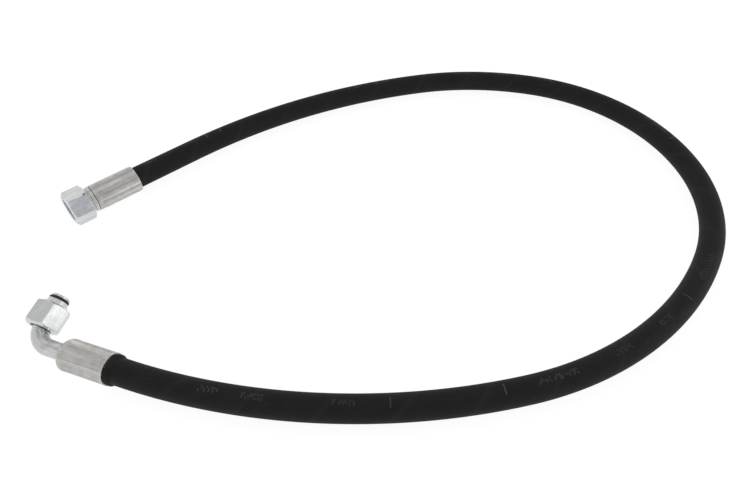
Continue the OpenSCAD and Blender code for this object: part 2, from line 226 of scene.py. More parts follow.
LINE = centre_line()
STARTS = np.cumsum([0.0] + [part[3] for part in LINE])
HOSE_LENGTH = STARTS[-1]
MOUTH_B_AT = HOSE_LENGTH - HOSE_SEAT


def on_line(distance):
    """Centre, direction and outer side of the hose at a distance from its cut end in ferrule A."""
    i = int(np.clip(np.searchsorted(STARTS, distance, side="right") - 1, 0, len(LINE) - 1))
    start, heading, turn, length = LINE[i]
    along = distance - STARTS[i]
    if turn == 0:
        direction = Vector((math.cos(heading), math.sin(heading), 0))
        centre = start + direction * along
    else:
        radius = length / turn
        here = heading - turn * along / length
        direction = Vector((math.cos(here), math.sin(here), 0))
        shift = Vector((math.sin(heading) - math.sin(here), math.cos(here) - math.cos(heading), 0))
        centre = start + shift * radius
    return centre, direction, UP.cross(direction)


# Middle of each of the six stretches that the CAD model divides the hose into
MIDDLES = [STARTS[0] + HOSE_SEAT + (STARTS[2] - HOSE_SEAT) / 2]
MIDDLES += [(STARTS[i] + STARTS[i + 1]) / 2 for i in range(2, 6)]
MIDDLES += [(STARTS[6] + MOUTH_B_AT) / 2]
PIVOTS_AT = [STARTS[i] for i in range(2, 7)]


# ---------- Meshes ----------

SHARP_EDGE = math.radians(38)


def sharpen(mesh):
    """Smooth shading, with the edges that turn by more than SHARP_EDGE kept sharp."""
    edit = bmesh.new()
    edit.from_mesh(mesh)
    bmesh.ops.recalc_face_normals(edit, faces=edit.faces)
    for face in edit.faces:
        face.smooth = True
    for edge in edit.edges:
        edge.smooth = len(edge.link_faces) == 2 and edge.calc_face_angle(0) < SHARP_EDGE
    edit.to_mesh(mesh)
    edit.free()


def new_piece(name, vertices, faces, matrix=None, material=None):
    """Mesh object with smooth shading, put at the given place."""
    mesh = bpy.data.meshes.new(name)
    mesh.from_pydata([tuple(v) for v in vertices], [], faces)
    mesh.update()
    sharpen(mesh)
    piece = bpy.data.objects.new(name, mesh)
    bpy.context.scene.collection.objects.link(piece)
    if matrix is not None:
        piece.matrix_world = matrix
    if material is not None:
        mesh.materials.append(material)
    return piece


def store_straight(piece, places):
    """Stores each vertex's place on the straightened hose or tube, which the materials follow."""
    attribute = piece.data.attributes.new("straight", "FLOAT_VECTOR", "POINT")
    attribute.data.foreach_set("vector", np.array(places, np.float32).ravel())


def even_normals(piece):
    """Large faces steer the shading, so flats stay flat beside their rounded edges."""
    modifier = piece.modifiers.new("even_normals", "WEIGHTED_NORMAL")
    modifier.keep_sharp = True
    modifier.weight = 60


def rounded(profile, steps=3):
    """Closed profile of (radius, distance, rounding) as points, with steps + 1 of them round each corner."""
    points = []
    count = len(profile)
    for i, (radius, distance, rounding) in enumerate(profile):
        here = np.array((radius, distance))
        if rounding <= 0:
            points.append(here)
            continue
        before = np.array(profile[i - 1][:2]) - here
        after = np.array(profile[(i + 1) % count][:2]) - here
        long_before = np.linalg.norm(before)
        long_after = np.linalg.norm(after)
        before = before / long_before
        after = after / long_after
        corner = math.acos(max(-1.0, min(1.0, float(before @ after))))
        cut = rounding / max(math.tan(corner / 2), 1e-3)
        cut = min(cut, 0.45 * long_before, 0.45 * long_after)
        for step in range(steps + 1):
            t = step / steps
            first, last = here + before * cut, here + after * cut
            points.append((1 - t) ** 2 * first + 2 * t * (1 - t) * here + t * t * last)
    return points


def revolve(name, profile_at, angles, matrix, material):
    """Closed solid whose section at each angle is the closed profile that profile_at(angle) gives."""
    columns = [profile_at(angle) for angle in angles]
    rows = len(columns[0])
    vertices = []
    for angle, column in zip(angles, columns):
        cosine, sine = math.cos(angle), math.sin(angle)
        vertices += [(radius * cosine, radius * sine, distance) for radius, distance in column]
    faces = []
    count = len(angles)
    for i in range(count):
        here, there = i * rows, ((i + 1) % count) * rows
        for j in range(rows):
            k = (j + 1) % rows
            faces.append((here + j, there + j, there + k, here + k))
    piece = new_piece(name, vertices, faces, matrix, material)
    even_normals(piece)
    return piece


def turned(name, profile, matrix, material, segments):
    """Lathe-turned solid."""
    points = rounded(profile)
    angles = [2 * math.pi * i / segments for i in range(segments)]
    return revolve(name, lambda angle: points, angles, matrix, material)


def swept_ring(name, centres, frames, section, closed, matrix, material):
    """Section of (side, up) points carried along centres, each with its own (side, up) directions."""
    rows = len(section)
    vertices = []
    for centre, (side, up) in zip(centres, frames):
        vertices += [centre + side * a + up * b for a, b in section]
    faces = []
    count = len(centres)
    for i in range(count if closed else count - 1):
        here, there = i * rows, ((i + 1) % count) * rows
        for j in range(rows):
            k = (j + 1) % rows
            faces.append((here + j, there + j, there + k, here + k))
    if not closed:
        faces.append(tuple(range(rows)))
        faces.append(tuple(reversed(range((count - 1) * rows, count * rows))))
    return new_piece(name, vertices, faces, matrix, material)


def pipe_faces(rows, ring):
    """Faces of a pipe whose rows of vertices are an outer ring followed by an inner one."""
    faces = []
    for j in range(rows - 1):
        here, there = 2 * ring * j, 2 * ring * (j + 1)
        for i in range(ring):
            k = (i + 1) % ring
            faces.append((here + i, here + k, there + k, there + i))
            faces.append((here + ring + i, there + ring + i, there + ring + k, here + ring + k))
    for base in (0, 2 * ring * (rows - 1)):
        for i in range(ring):
            k = (i + 1) % ring
            faces.append((base + i, base + ring + i, base + ring + k, base + k))
    return faces


def circle_section(radius, segments):
    """Points of a circle in the section plane."""
    turns = [2 * math.pi * i / segments for i in range(segments)]
    return [(radius * math.cos(t), radius * math.sin(t)) for t in turns]


RING_STEPS = 96
RING_SEGMENTS = 24


def torus(name, ring_r, thick, distance, matrix, material, start=0.0, turn=2 * math.pi):
    """Round ring, or part of one, about the axis of its frame."""
    closed = turn >= 2 * math.pi - 1e-6
    count = RING_STEPS if closed else RING_STEPS + 1
    centres, frames = [], []
    for i in range(count):
        angle = start + turn * i / RING_STEPS
        out = Vector((math.cos(angle), math.sin(angle), 0))
        centres.append(out * ring_r + UP * distance)
        frames.append((out, UP))
    section = circle_section(thick / 2, RING_SEGMENTS)
    return swept_ring(name, centres, frames, section, closed, matrix, material)


# ---------- Materials ----------


class Look:
    """A procedural material under construction."""

    def __init__(self, name):
        self.material = bpy.data.materials.new(name)
        self.material.use_nodes = True
        self.nodes = self.material.node_tree.nodes
        self.links = self.material.node_tree.links
        self.shader = self.nodes["Principled BSDF"]

    def node(self, kind, **settings):
        """New node, with its properties and its inputs (by name) set."""
        made = self.nodes.new(kind)
        for key, value in settings.items():
            if hasattr(made, key):
                setattr(made, key, value)
            else:
                self.feed(value, made.inputs[key])
        return made

    def feed(self, value, socket):
        """Links a socket, or sets a plain value."""
        if isinstance(value, bpy.types.NodeSocket):
            self.links.new(value, socket)
        else:
            socket.default_value = value

    def math(self, operation, a, b=0.0):
        """Result of one arithmetic operation."""
        made = self.nodes.new("ShaderNodeMath")
        made.operation = operation
        self.feed(a, made.inputs[0])
        self.feed(b, made.inputs[1])
        return made.outputs[0]

    def coordinates(self, attribute=None, scale=(1, 1, 1)):
        """Place on the piece, stretched by scale: from a stored attribute or the piece's own frame."""
        if attribute:
            source = self.node("ShaderNodeAttribute", attribute_name=attribute).outputs["Vector"]
        else:
            source = self.nodes.new("ShaderNodeTexCoord").outputs["Object"]
        mapping = self.nodes.new("ShaderNodeMapping")
        mapping.inputs["Scale"].default_value = scale
        self.links.new(source, mapping.inputs["Vector"])
        return mapping.outputs["Vector"]

    def noise(self, where, size, detail, rough):
        """Noise whose features are about size metres across."""
        made = self.nodes.new("ShaderNodeTexNoise")
        made.inputs["Scale"].default_value = 1.0 / size
        made.inputs["Detail"].default_value = detail
        made.inputs["Roughness"].default_value = rough
        self.links.new(where, made.inputs["Vector"])
        return made.outputs["Fac"]

    def spread(self, value, low, high, to_low, to_high):
        """Value carried from the range low..high to the range to_low..to_high, and kept inside it."""
        made = self.nodes.new("ShaderNodeMapRange")
        self.feed(value, made.inputs["Value"])
        for key, number in zip(("From Min", "From Max", "To Min", "To Max"), (low, high, to_low, to_high)):
            self.feed(number, made.inputs[key])
        return made.outputs["Result"]

    def mix(self, share, a, b):
        """Colour between a and b."""
        made = self.nodes.new("ShaderNodeMix")
        made.data_type = "RGBA"
        self.feed(share, made.inputs[0])
        self.feed(a, made.inputs[6])
        self.feed(b, made.inputs[7])
        return made.outputs[2]

    def over(self, base, source, low, high, share, colour):
        """Base with a colour laid over it: none where the source is low, up to the share where it is high."""
        return self.mix(self.spread(source, low, high, 0, share), base, colour)

    def set(self, **values):
        """Sets or links inputs of the shader, whose names are written with _ for a space."""
        for key, value in values.items():
            self.feed(value, self.shader.inputs[key.replace("_", " ")])

    def bump(self, *heights, distance):
        """Relief from heights, each a (socket, strength) pair."""
        normal = None
        for height, strength in heights:
            made = self.nodes.new("ShaderNodeBump")
            made.inputs["Distance"].default_value = distance
            made.inputs["Strength"].default_value = strength
            self.links.new(height, made.inputs["Height"])
            if normal is not None:
                self.links.new(normal, made.inputs["Normal"])
            normal = made.outputs["Normal"]
        self.links.new(normal, self.shader.inputs["Normal"])


def grey(level, warmth=0.0):
    """Grey that leans to red for a positive warmth and to blue for a negative one."""
    return (level * (1 + warmth), level, level * (1 - warmth), 1.0)


BRIGHTEST = 0.98


def plated(name, level, warmth, rough, streak, streak_size, stain_and_sheen, depth, speck=0.3, attribute=None):
    """Zinc plating: satin metal with fine tool marks, blotches of thinner passivation, long darker bands
    painted as dark reflections, long paler bands painted as highlights, and worn specks.
    Streak is the stretch of the marks and bands along the piece's own axes, or along the stored attribute's.
    The stain-and-sheen figure sets how far the blotches and the painted bands move from the plain level."""
    look = Look(name)
    where = look.coordinates(attribute, scale=streak)
    marks = look.noise(where, streak_size, 6.0, 0.62)
    sheen_bands = look.noise(where, streak_size * 6, 2.0, 0.5)
    blotch = look.noise(look.coordinates(), 7 * MM, 3.0, 0.6)
    grain = look.noise(look.coordinates(), 0.45 * MM, 3.0, 0.5)
    # Darker grey for the passivation blotches and for the painted dark reflection bands
    blotch_and_shade_level = level * (1 - stain_and_sheen)
    # Paler grey for the painted highlight bands
    highlight_level = min(level * (1 + stain_and_sheen), BRIGHTEST)
    scratched = min(level * 1.18, BRIGHTEST)
    base = look.over(grey(level, warmth), blotch, 0.35, 0.68, 1, grey(blotch_and_shade_level, warmth + 0.03))
    # Painted reflection: long darker bands
    base = look.over(base, sheen_bands, 0.40, 0.62, 0.5, grey(blotch_and_shade_level, warmth * 0.4))
    # Painted highlight: long paler bands
    base = look.over(base, sheen_bands, 0.46, 0.34, 0.8, grey(highlight_level, warmth * 0.4))
    base = look.over(base, marks, 0.40, 0.72, 0.45, grey(scratched, warmth * 0.5))
    base = look.over(base, grain, 0.58, 0.78, speck, grey(level * 0.72, warmth))
    uneven = look.spread(blotch, 0.3, 0.7, -0.04, 0.05)
    roughness = look.math("ADD", look.spread(marks, 0.3, 0.7, rough * 0.85, rough * 1.2), uneven)
    look.set(Base_Color=base, Metallic=1.0, Roughness=roughness)
    look.bump((marks, depth), (grain, depth * 0.5), distance=0.05 * MM)
    return look.material


WRAP_PITCH = 58 * MM
WEAVE_PITCH = 0.9 * MM
WEAVE_ROUND = 78


def rubber_cover():
    """Wrapped black cover: dull rubber with the weave and overlap of the curing wrap, dust and ink."""
    look = Look("cover_rubber")
    where = look.coordinates("straight")
    parts = look.node("ShaderNodeSeparateXYZ", Vector=where)
    across, up, along = parts.outputs
    angle = look.math("ARCTAN2", up, across)
    wrap = look.math("ADD", look.math("MULTIPLY", along, 2 * math.pi / WRAP_PITCH), angle)
    edge = look.spread(look.math("SINE", wrap), 0.93, 1.0, 0, 1)
    weave_along = look.math("SINE", look.math("MULTIPLY", along, 2 * math.pi / WEAVE_PITCH))
    weave_round = look.math("SINE", look.math("MULTIPLY", angle, WEAVE_ROUND))
    weave = look.math("MULTIPLY", weave_along, weave_round)
    patches = look.noise(where, 16 * MM, 4.0, 0.6)
    grain = look.noise(where, 0.5 * MM, 3.0, 0.6)
    rubbed = look.noise(look.coordinates("straight", scale=(1, 1, 0.18)), 3 * MM, 5.0, 0.65)
    base = look.over((0.0070, 0.0070, 0.0065, 1), patches, 0.35, 0.7, 1, (0.0125, 0.0122, 0.0114, 1))
    base = look.over(base, rubbed, 0.56, 0.8, 0.5, (0.028, 0.027, 0.025, 1))
    base = look.mix(look.math("MULTIPLY", edge, 0.18), base, (0.030, 0.030, 0.029, 1))
    ink = print_marks(look, along, angle, grain)
    base = look.mix(ink, base, (0.27, 0.29, 0.32, 1))
    uneven = look.math("MULTIPLY", weave, 0.03)
    roughness = look.math("ADD", look.spread(patches, 0.3, 0.7, 0.60, 0.74), uneven)
    look.set(Base_Color=base, Roughness=roughness, Specular_IOR_Level=0.2)
    look.bump((weave, 0.10), (edge, 0.22), (grain, 0.22), (rubbed, 0.12), distance=0.12 * MM)
    return look.material


# Marks printed on the cover: the line they lie on, the cells it is divided into and the marks' sizes
PRINT_ANGLE = math.radians(85)
PRINT_CELL = 17 * MM
PRINT_SEED = 12.5
PRINT_SHARE = 0.24
BAR_SHARE = 0.08
STROKE_SHARE = 0.58
STROKE_STRENGTH = 0.55
STROKE_WIDTH = 0.8 * MM
STROKE_ROW = 1.7 * MM
STROKES_HALF = 2.55 * MM
BARS_HALF = 4.4 * MM
BAR_WIDTH = 1.0 * MM


def print_marks(look, along, angle, grain):
    """Share of pale ink on one line along the hose, partly rubbed off. The line is divided into cells, and
    chance gives a cell a row of short upright dashes, or one plain bar, or nothing."""
    cell = look.math("FLOOR", look.math("DIVIDE", along, PRINT_CELL))
    seed = look.math("ADD", cell, PRINT_SEED)
    chance = look.node("ShaderNodeTexWhiteNoise", noise_dimensions="1D", W=seed)
    printed = look.math("GREATER_THAN", chance.outputs["Value"], 1 - PRINT_SHARE)
    barred = look.math("LESS_THAN", chance.outputs["Value"], BAR_SHARE)
    strength = look.spread(chance.outputs["Color"], 0.0, 1.0, 0.15, 0.60)
    across = look.math("MULTIPLY", look.math("SUBTRACT", angle, PRINT_ANGLE), COVER_R)
    off_line = look.math("ABSOLUTE", across)
    column = look.math("FLOOR", look.math("DIVIDE", along, STROKE_WIDTH))
    row = look.math("FLOOR", look.math("DIVIDE", look.math("ADD", across, STROKE_ROW / 2), STROKE_ROW))
    place_in_print = look.node("ShaderNodeCombineXYZ", X=column, Y=row)
    spot = look.node("ShaderNodeTexWhiteNoise", noise_dimensions="2D", Vector=place_in_print.outputs[0])
    stroke = look.math("GREATER_THAN", spot.outputs["Value"], 1 - STROKE_SHARE)
    odd = look.math("GREATER_THAN", look.math("FLOORED_MODULO", column, 2.0), 0.5)
    strokes = look.math("MULTIPLY", look.math("MULTIPLY", printed, stroke), odd)
    strokes = look.math("MULTIPLY", strokes, STROKE_STRENGTH)
    strokes = look.math("MULTIPLY", strokes, look.math("LESS_THAN", off_line, STROKES_HALF))
    middle = look.math("MULTIPLY", look.math("ADD", cell, 0.5), PRINT_CELL)
    off_middle = look.math("ABSOLUTE", look.math("SUBTRACT", along, middle))
    bars = look.math("MULTIPLY", barred, look.math("LESS_THAN", off_middle, BAR_WIDTH / 2))
    bars = look.math("MULTIPLY", bars, look.math("LESS_THAN", off_line, BARS_HALF))
    ink = look.math("MULTIPLY", look.math("MAXIMUM", strokes, bars), strength)
    return look.math("MULTIPLY", ink, look.spread(grain, 0.38, 0.60, 0.25, 0.80))


def smooth_rubber(name, level, attribute=None):
    """Moulded black rubber with faint bloom and mould grain."""
    look = Look(name)
    where = look.coordinates(attribute)
    bloom = look.noise(where, 2.5 * MM, 4.0, 0.6)
    grain = look.noise(where, 0.3 * MM, 2.0, 0.5)
    base = look.over(grey(level), bloom, 0.35, 0.7, 1, grey(level * 1.7))
    look.set(Base_Color=base, Roughness=look.spread(bloom, 0.3, 0.7, 0.38, 0.52))
    look.bump((grain, 0.15), distance=0.04 * MM)
    return look.material


BRAID_LAY = 40 * MM
BRAID_STRANDS = 10
BRAID_WIRES = 100


def wire_braid():
    """Brass-coated wires in two crossing sets of strands, over and under each other."""
    look = Look("braid_wire")
    where = look.coordinates("straight")
    across, up, along = look.node("ShaderNodeSeparateXYZ", Vector=where).outputs
    angle = look.math("ARCTAN2", up, across)
    lay = look.math("MULTIPLY", along, 2 * math.pi / BRAID_LAY)
    strands, wires = [], []
    for side in (1, -1):
        phase = look.math("ADD", angle, look.math("MULTIPLY", lay, side))
        strands.append(look.math("SINE", look.math("MULTIPLY", phase, BRAID_STRANDS)))
        round_wire = look.math("SINE", look.math("MULTIPLY", phase, BRAID_WIRES))
        wires.append(look.math("ABSOLUTE", round_wire))
    over = look.math("GREATER_THAN", look.math("MULTIPLY", strands[0], strands[1]), 0.0)
    under = look.math("SUBTRACT", 1.0, over)
    first, second = look.math("MULTIPLY", over, wires[0]), look.math("MULTIPLY", under, wires[1])
    height = look.math("ADD", first, second)
    tarnish = look.noise(where, 4 * MM, 3.0, 0.6)
    base = look.over((0.58, 0.47, 0.26, 1), tarnish, 0.3, 0.7, 1, (0.42, 0.36, 0.24, 1))
    # Darker where the wires dip between each other: painted shade in the grooves
    base = look.over(base, height, 0.5, 0.0, 0.8, (0.07, 0.06, 0.05, 1))
    look.set(Base_Color=base, Metallic=1.0, Roughness=look.spread(tarnish, 0.3, 0.7, 0.28, 0.42))
    look.bump((height, 0.8), distance=0.2 * MM)
    return look.material


COVER_LOOK = rubber_cover()
INNER_LOOK = smooth_rubber("inner_rubber", 0.012, "straight")
SEAL_LOOK = smooth_rubber("seal_rubber", 0.008)
BRAID_LOOK = wire_braid()
# Each look's stain-and-sheen figure darkens its blotches and painted dark reflection bands, and lightens its
# painted highlight bands
FERRULE_LOOK = plated(
    "ferrule_zinc", level=0.64, warmth=0.03, rough=0.32, streak=(1, 1, 0.03), streak_size=0.7 * MM,
    stain_and_sheen=0.34, depth=0.14,
)
INSERT_LOOK = plated(
    "insert_zinc", level=0.72, warmth=0.01, rough=0.30, streak=(0.1, 0.1, 1), streak_size=0.25 * MM,
    stain_and_sheen=0.12, depth=0.12,
)
TUBE_LOOK = plated(
    "tube_zinc", level=0.76, warmth=-0.015, rough=0.13, streak=(1, 1, 0.04), streak_size=0.8 * MM,
    stain_and_sheen=0.36, depth=0.03, speck=0.08, attribute="straight",
)
NUT_LOOK = plated(
    "nut_zinc", level=0.78, warmth=-0.02, rough=0.27, streak=(1, 1, 0.25), streak_size=0.7 * MM,
    stain_and_sheen=0.12, depth=0.04,
)
WIRE_LOOK = plated(
    "bright_wire", level=0.55, warmth=0.0, rough=0.25, streak=(1, 1, 1), streak_size=0.3 * MM,
    stain_and_sheen=0.1, depth=0.05,
)


# ---------- Hose ----------

HOSE_STEP = 3 * MM
BULGE_STEP = 0.5 * MM
BULGE_PINCH = 0.9 * MM
HOSE_SEGMENTS = 72


def ramp(value, start, end):
    """0 up to the start, 1 from the end on, and straight between them."""
    return max(0.0, min(1.0, (value - start) / (end - start)))


def cover_radius(distance):
    """Outer radius of the cover, which bulges where it enters ferrule B."""
    before = MOUTH_B_AT - distance
    if before <= 0 or before >= BULGE_LEN:
        return COVER_R
    rise = math.sin(ramp(before, BULGE_LEN, BULGE_LEN / 2) * math.pi / 2) ** 1.2
    return COVER_R + BULGE_HEIGHT * rise * (0.55 + 0.45 * ramp(before, 0, BULGE_PINCH))


def hose_piece(name, inner, outer, start, end, material):
    """One length of a hose layer, closed at both ends. The cover has no fixed outer radius."""
    count = max(2, int(round((end - start) / HOSE_STEP)))
    stations = list(np.linspace(start, end, count + 1))
    if outer is None:
        extra = np.arange(0, BULGE_LEN * 1.3, BULGE_STEP)
        stations += [MOUTH_B_AT - e for e in extra if start < MOUTH_B_AT - e < end]
        stations = sorted(set(round(float(s), 6) for s in stations))
    vertices, straight = [], []
    for distance in stations:
        centre, _, side = on_line(distance)
        reach = cover_radius(distance) if outer is None else outer
        for radius in (reach, inner):
            for i in range(HOSE_SEGMENTS):
                angle = 2 * math.pi * i / HOSE_SEGMENTS
                cosine, sine = math.cos(angle), math.sin(angle)
                vertices.append(centre + side * (radius * cosine) + UP * (radius * sine))
                straight.append((radius * cosine, radius * sine, distance))
    piece = new_piece(name, vertices, pipe_faces(len(stations), HOSE_SEGMENTS), None, material)
    store_straight(piece, straight)
    return piece


LAYERS = (
    ("tube", BORE_R, TUBE_R - LAYER_GAP, INNER_LOOK, "inner_rubber"),
    ("braid_in", TUBE_R, BRAID_IN_R - LAYER_GAP, BRAID_LOOK, "braid_wire"),
    ("interlayer", BRAID_IN_R, INTERLAYER_R - LAYER_GAP, INNER_LOOK, "inner_rubber"),
    ("braid_out", INTERLAYER_R, BRAID_OUT_R - LAYER_GAP, BRAID_LOOK, "braid_wire"),
    ("cover", BRAID_OUT_R, None, COVER_LOOK, "cover_rubber"),
)
BLEND_MARGIN = 7 * MM


def make_hose():
    """Each layer in five lengths. A length spans one joint and meets the next halfway."""
    cuts = [0.0] + MIDDLES[1:5] + [HOSE_LENGTH]
    for layer, inner, outer, material, slot in LAYERS:
        for i in range(len(PIVOTS_AT)):
            name = "%s_length_%d" % (layer, i + 1)
            piece = hose_piece(name, inner, outer, cuts[i], cuts[i + 1], material)
            reach = min(PIVOTS_AT[i] - MIDDLES[i], MIDDLES[i + 1] - PIVOTS_AT[i]) - BLEND_MARGIN
            start = on_line(PIVOTS_AT[i] - reach)[0]
            end = on_line(PIVOTS_AT[i] + reach)[0]
            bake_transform(piece)
            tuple(start)
            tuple(end)
            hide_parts("%s_%d" % (layer, i + 1), "%s_%d" % (layer, i + 2))


# ---------- Fittings ----------


def finished(piece, body, node):
    """The piece stands for a CAD node and rides on its body."""
    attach(piece, body)
    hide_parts(node)


CRIMP_SECTOR = 2 * math.pi / CRIMPS
CRIMP_STEP = 0.16 * MM


def crimp_angles():
    """Angles of a ferrule's columns, close together near the crimp ridges."""
    near = [i * CRIMP_STEP / FERRULE_R for i in range(-16, 17)]
    far = [near[-1] + (CRIMP_SECTOR - 2 * near[-1]) * i / 9 for i in range(1, 9)]
    return [c * CRIMP_SECTOR + offset for c in range(CRIMPS) for offset in near + far]


def crimp_relief(angle, distance, length, plain):
    """Height of a ferrule's crimp marks: a sharp ridge between two dies, a shallow groove beside it,
    the dies' flatter faces, and a folded notch where the ridge runs out."""
    index = math.floor(angle / CRIMP_SECTOR + 0.5)
    offset = (angle - index * CRIMP_SECTOR) * FERRULE_R
    vary = 0.75 + 0.25 * math.sin(index * 2.4 + length * 900)
    ahead = length - plain - distance
    ease = ramp(distance, 0.6 * MM, 2.8 * MM) * ramp(ahead, -0.4 * MM, 0.8 * MM)
    ridge = math.exp(-((offset / RIDGE_HALF) ** 2)) * CRIMP_HEIGHT * vary
    groove = math.exp(-(((offset - GROOVE_OFF) / GROOVE_HALF) ** 2)) * CRIMP_GROOVE * vary
    die_half = CRIMP_SECTOR * FERRULE_R / 2
    flatter = CRIMP_FLAT * (1 - (1 - abs(offset) / die_half) ** 2)
    notch_half = NOTCH_HALF + NOTCH_SPREAD * ramp(ahead, NOTCH_LEN, 0.6 * MM)
    in_notch = ramp(ahead, NOTCH_LEN, 3.0 * MM) * ramp(ahead, 0.1 * MM, 0.45 * MM)
    notch = max(0.0, 1 - abs(offset - NOTCH_OFF) / notch_half) * in_notch * CRIMP_NOTCH * vary
    return ease * (ridge - groove - flatter) - notch


def ferrule(name, length, plain, round_end, lip_r, matrix):
    """Crimped ferrule: grip grooves inside, a turned-in lip at the fitting end and crimp marks outside,
    which run out at the plain stretch beside the fitting."""
    hose_r = COVER_R + LAYER_GAP
    grip_r = hose_r + GRIP_DEPTH
    inside = [(hose_r, 0, 0.3 * MM)]
    for i in range(GRIPS):
        at = GRIP_START + i * GRIP_PITCH
        end = at + GRIP_WIDTH
        inside += [(hose_r, at, 0), (grip_r, at, 0), (grip_r, end, 0), (hose_r, end, 0)]
    inside += [(hose_r, LIP_START, 0), (lip_r, LIP_START, 0), (lip_r, length, 0.15 * MM)]
    inner_points = rounded([(FERRULE_R, 0, 0)] + inside + [(FERRULE_R, length, 0)], 2)[1:-1]
    outer_points = []
    arc = 10 if round_end > 1 * MM else 4
    arc_r, arc_at = FERRULE_R - round_end, length - round_end
    for i in range(arc + 1):
        turn = math.pi / 2 * (1 - i / arc)
        outer_points.append((arc_r + round_end * math.cos(turn), arc_at + round_end * math.sin(turn)))
    crimp_end = length - plain - 5 * MM
    mouth, edge = 3.2 * MM, 0.45 * MM
    stretches = ((arc_at, crimp_end, 26), (crimp_end, mouth, 20), (mouth, edge, 9))
    for start, end, count in stretches:
        outer_points += [(FERRULE_R, float(at)) for at in np.linspace(start, end, count)[1:]]
    outer_points += [(FERRULE_R - 0.12 * MM, 0.13 * MM), (FERRULE_R - 0.42 * MM, 0.0)]

    def profile_at(angle):
        column = list(map(tuple, inner_points))
        for radius, distance in outer_points:
            marked = radius > FERRULE_R - 1e-6
            relief = crimp_relief(angle, distance, length, plain) if marked else 0.0
            column.append((radius + relief, distance))
        return column

    return revolve(name, profile_at, crimp_angles(), matrix, FERRULE_LOOK)


def hexagon_radius(angle, half_flats, edge_round):
    """Distance from the axis to a hexagon with a corner at angle 0 and rounded corners."""
    sector = math.pi / 3
    off = abs((angle + sector / 2) % sector - sector / 2)
    centre = (half_flats - edge_round) / math.cos(sector / 2)
    tangent = Vector((centre + edge_round * math.cos(sector / 2), edge_round * math.sin(sector / 2)))
    if off >= math.atan2(tangent.y, tangent.x):
        return half_flats / math.cos(sector / 2 - off)
    return centre * math.cos(off) + math.sqrt(edge_round**2 - (centre * math.sin(off)) ** 2)


def nut_angles(turn):
    """Angles of a nut's columns, close together at the hexagon's corners."""
    corner = [i * math.radians(0.55) for i in range(-5, 6)]
    sector = math.pi / 3
    flat = [corner[-1] + (sector - 2 * corner[-1]) * i / 14 for i in range(1, 14)]
    return [turn + c * sector + offset for c in range(6) for offset in corner + flat]


def union_nut(name, half_flats, thread_r, rear_r, turn, matrix):
    """Hexagon nut with turned chamfers, a rear bore, a 45 degree seat and thread rings."""
    face_r = half_flats - NUT_CHAMFER
    slope = math.tan(math.radians(30))
    minor, major = thread_r - THREAD_DEPTH, thread_r
    inside = [(minor + 0.9 * MM, NUT_LEN, 0.12 * MM), (minor, NUT_LEN - 0.85 * MM, 0)]
    for i in range(int((THREAD_LEN - 1.6 * MM) / THREAD_PITCH)):
        at = NUT_LEN - 1.75 * MM - i * THREAD_PITCH
        inside += [(minor, at + THREAD_FOOT, 0), (major, at + THREAD_CREST, 0)]
        inside += [(major, at - THREAD_CREST, 0), (minor, at - THREAD_FOOT, 0)]
    thread_end = NUT_LEN - THREAD_LEN
    seat = minor - rear_r
    inside += [(minor, thread_end, 0), (rear_r, thread_end - seat, 0), (rear_r, 0, 0.2 * MM)]

    def profile_at(angle):
        reach = hexagon_radius(angle - turn, half_flats, NUT_EDGE_ROUND)
        cut = (reach - face_r) * slope
        outside = [(face_r, 0, 0.3 * MM), (reach, cut, 0.5 * MM)]
        outside += [(reach, NUT_LEN - cut, 0.5 * MM), (face_r, NUT_LEN, 0.3 * MM)]
        return rounded(outside + inside)

    return revolve(name, profile_at, nut_angles(turn), matrix, NUT_LOOK)


def drill(piece, cutter):
    """Cuts the cutter out of the piece and removes the cutter."""
    for modifier in list(piece.modifiers):
        piece.modifiers.remove(modifier)
    cut = piece.modifiers.new("cut", "BOOLEAN")
    cut.operation = "DIFFERENCE"
    cut.solver = "EXACT"
    cut.object = cutter
    bpy.context.view_layer.update()
    result = bpy.data.meshes.new_from_object(piece.evaluated_get(bpy.context.evaluated_depsgraph_get()))
    piece.modifiers.remove(cut)
    piece.data = result
    bpy.data.objects.remove(cutter)
    sharpen(result)
    even_normals(piece)


def cone_nose(tip, tip_r, ring_r):
    """Profile of a 24 degree cone nose with its O-ring groove, from its base to its tip."""
    half = O_RING_THICK * 0.62
    groove_r = ring_r - 0.02 * MM
    middle = tip - O_RING_BACK
    return [
        (tip_r + CONE_LEN * CONE_SLOPE, tip - CONE_LEN, 0.2 * MM),
        (tip_r + (O_RING_BACK + half) * CONE_SLOPE, middle - half, 0.12 * MM),
        (groove_r, middle - half, 0),
        (groove_r, middle + half, 0),
        (tip_r + (O_RING_BACK - half) * CONE_SLOPE, middle + half, 0.12 * MM),
        (tip_r, tip - 0.05 * MM, 0.3 * MM),
    ]


def insert_tail(groove_r):
    """Profile of an insert inside its ferrule: barbs, stop flange and lip groove."""
    tail_r = BORE_R - LAYER_GAP
    low = tail_r - BARB_DEPTH
    profile = [(INSERT_BORE_R, TAIL_START, 0.2 * MM)]
    for i in range(BARBS):
        at = TAIL_START + i * BARB_PITCH
        profile += [(low, at, 0), (tail_r, at + BARB_PITCH * 0.75, 0), (low, at + BARB_PITCH * 0.76, 0)]
    flange_r = groove_r + FLANGE_HEIGHT
    profile += [(tail_r, HOSE_SEAT - 3.9 * MM, 0), (tail_r, FLANGE_START, 0), (flange_r, FLANGE_START, 0)]
    profile += [(flange_r, FLANGE_END, 0), (groove_r, FLANGE_END, 0)]
    return profile


